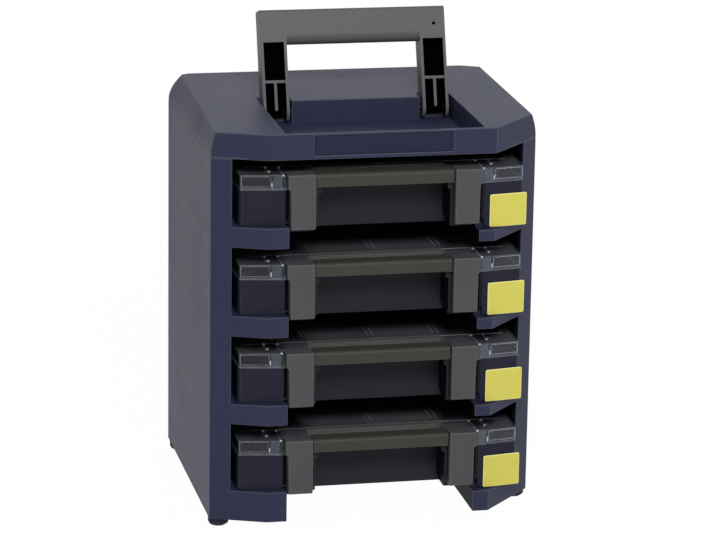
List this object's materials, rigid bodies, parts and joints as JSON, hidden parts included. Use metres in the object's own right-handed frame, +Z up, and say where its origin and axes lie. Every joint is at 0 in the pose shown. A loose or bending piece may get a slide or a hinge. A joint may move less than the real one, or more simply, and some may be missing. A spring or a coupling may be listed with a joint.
{
  "type": "assortment case carrier",
  "caption": "Open-fronted carrier with shelf rails, slide-out assortment cases with clear lids and front latches, and a folding carry handle.",
  "frame": {"origin": "on the floor under the middle of the whole object", "axes": "+X to the right seen from the front, +Y to the back, +Z up; the cases open to -Y"},
  "size_m": [0.376, 0.3286, 0.5514],
  "materials": {
    "carrier_plastic": "moulded dark blue-grey plastic with a fine grain",
    "tray_plastic": "moulded dark navy plastic",
    "handle_plastic": "moulded dark grey plastic",
    "latch_plastic": "moulded mid grey plastic",
    "bar_plastic": "moulded warm grey plastic",
    "label_yellow": "smooth yellow plastic",
    "lid_clear": "clear moulded polycarbonate, slightly smoky",
    "foot_plastic": "soft dark plastic",
    "pin_steel": "plain steel rod",
    "screw_steel": "zinc plated steel"
  },
  "bodies": {
    "carrier": {"left_side_panel": "carrier_plastic", "right_side_panel": "carrier_plastic", "back_panel": "carrier_plastic", "back_panel_screws": "screw_steel", "top_cover": "carrier_plastic", "top_cover_screws": "screw_steel", "feet": "foot_plastic", "handle_pivot_left": "pin_steel", "handle_pivot_right": "pin_steel"},
    "handle": {"carry_handle": "handle_plastic"},
    "case_1": {"case_1_tray": "tray_plastic", "case_1_lid": "lid_clear", "case_1_grip_bar": "bar_plastic", "case_1_latch_pins": "pin_steel", "case_1_label": "label_yellow", "case_1_divider_plates": "tray_plastic", "case_1_hinge_pins": "pin_steel"},
    "case_1_latch_left": {"case_1_latch_left": "latch_plastic"},
    "case_1_latch_right": {"case_1_latch_right": "latch_plastic"},
    "case_2": {"case_2_tray": "tray_plastic", "case_2_lid": "lid_clear", "case_2_grip_bar": "bar_plastic", "case_2_latch_pins": "pin_steel", "case_2_label": "label_yellow", "case_2_divider_plates": "tray_plastic", "case_2_hinge_pins": "pin_steel"},
    "case_2_latch_left": {"case_2_latch_left": "latch_plastic"},
    "case_2_latch_right": {"case_2_latch_right": "latch_plastic"},
    "case_3": {"case_3_tray": "tray_plastic", "case_3_lid": "lid_clear", "case_3_grip_bar": "bar_plastic", "case_3_latch_pins": "pin_steel", "case_3_label": "label_yellow", "case_3_divider_plates": "tray_plastic", "case_3_hinge_pins": "pin_steel"},
    "case_3_latch_left": {"case_3_latch_left": "latch_plastic"},
    "case_3_latch_right": {"case_3_latch_right": "latch_plastic"},
    "case_4": {"case_4_tray": "tray_plastic", "case_4_lid": "lid_clear", "case_4_grip_bar": "bar_plastic", "case_4_latch_pins": "pin_steel", "case_4_label": "label_yellow", "case_4_divider_plates": "tray_plastic", "case_4_hinge_pins": "pin_steel"},
    "case_4_latch_left": {"case_4_latch_left": "latch_plastic"},
    "case_4_latch_right": {"case_4_latch_right": "latch_plastic"}
  },
  "joints": [
    {"name": "handle_fold", "type": "hinge", "parent": "carrier", "child": "handle", "pos_m": [0.0022, 0.00825, 0.4399], "axis": [1, 0, 0], "range_deg": [0, 108]},
    {"name": "case_1_slide", "type": "slide", "parent": "carrier", "child": "case_1", "axis": [0, -1, 0], "range_m": [0, 0.27]},
    {"name": "case_1_latch_left_hinge", "type": "hinge", "parent": "case_1", "child": "case_1_latch_left", "pos_m": [-0.0898, -0.14875, 0.352], "axis": [1, 0, 0], "range_deg": [0, 90]},
    {"name": "case_1_latch_right_hinge", "type": "hinge", "parent": "case_1", "child": "case_1_latch_right", "pos_m": [0.0942, -0.14875, 0.352], "axis": [1, 0, 0], "range_deg": [0, 90]},
    {"name": "case_2_slide", "type": "slide", "parent": "carrier", "child": "case_2", "axis": [0, -1, 0], "range_m": [0, 0.27]},
    {"name": "case_2_latch_left_hinge", "type": "hinge", "parent": "case_2", "child": "case_2_latch_left", "pos_m": [-0.0898, -0.14875, 0.2508], "axis": [1, 0, 0], "range_deg": [0, 90]},
    {"name": "case_2_latch_right_hinge", "type": "hinge", "parent": "case_2", "child": "case_2_latch_right", "pos_m": [0.0942, -0.14875, 0.2508], "axis": [1, 0, 0], "range_deg": [0, 90]},
    {"name": "case_3_slide", "type": "slide", "parent": "carrier", "child": "case_3", "axis": [0, -1, 0], "range_m": [0, 0.27]},
    {"name": "case_3_latch_left_hinge", "type": "hinge", "parent": "case_3", "child": "case_3_latch_left", "pos_m": [-0.0898, -0.14875, 0.1496], "axis": [1, 0, 0], "range_deg": [0, 90]},
    {"name": "case_3_latch_right_hinge", "type": "hinge", "parent": "case_3", "child": "case_3_latch_right", "pos_m": [0.0942, -0.14875, 0.1496], "axis": [1, 0, 0], "range_deg": [0, 90]},
    {"name": "case_4_slide", "type": "slide", "parent": "carrier", "child": "case_4", "axis": [0, -1, 0], "range_m": [0, 0.27]},
    {"name": "case_4_latch_left_hinge", "type": "hinge", "parent": "case_4", "child": "case_4_latch_left", "pos_m": [-0.0898, -0.14875, 0.0484], "axis": [1, 0, 0], "range_deg": [0, 90]},
    {"name": "case_4_latch_right_hinge", "type": "hinge", "parent": "case_4", "child": "case_4_latch_right", "pos_m": [0.0942, -0.14875, 0.0484], "axis": [1, 0, 0], "range_deg": [0, 90]}
  ]
}
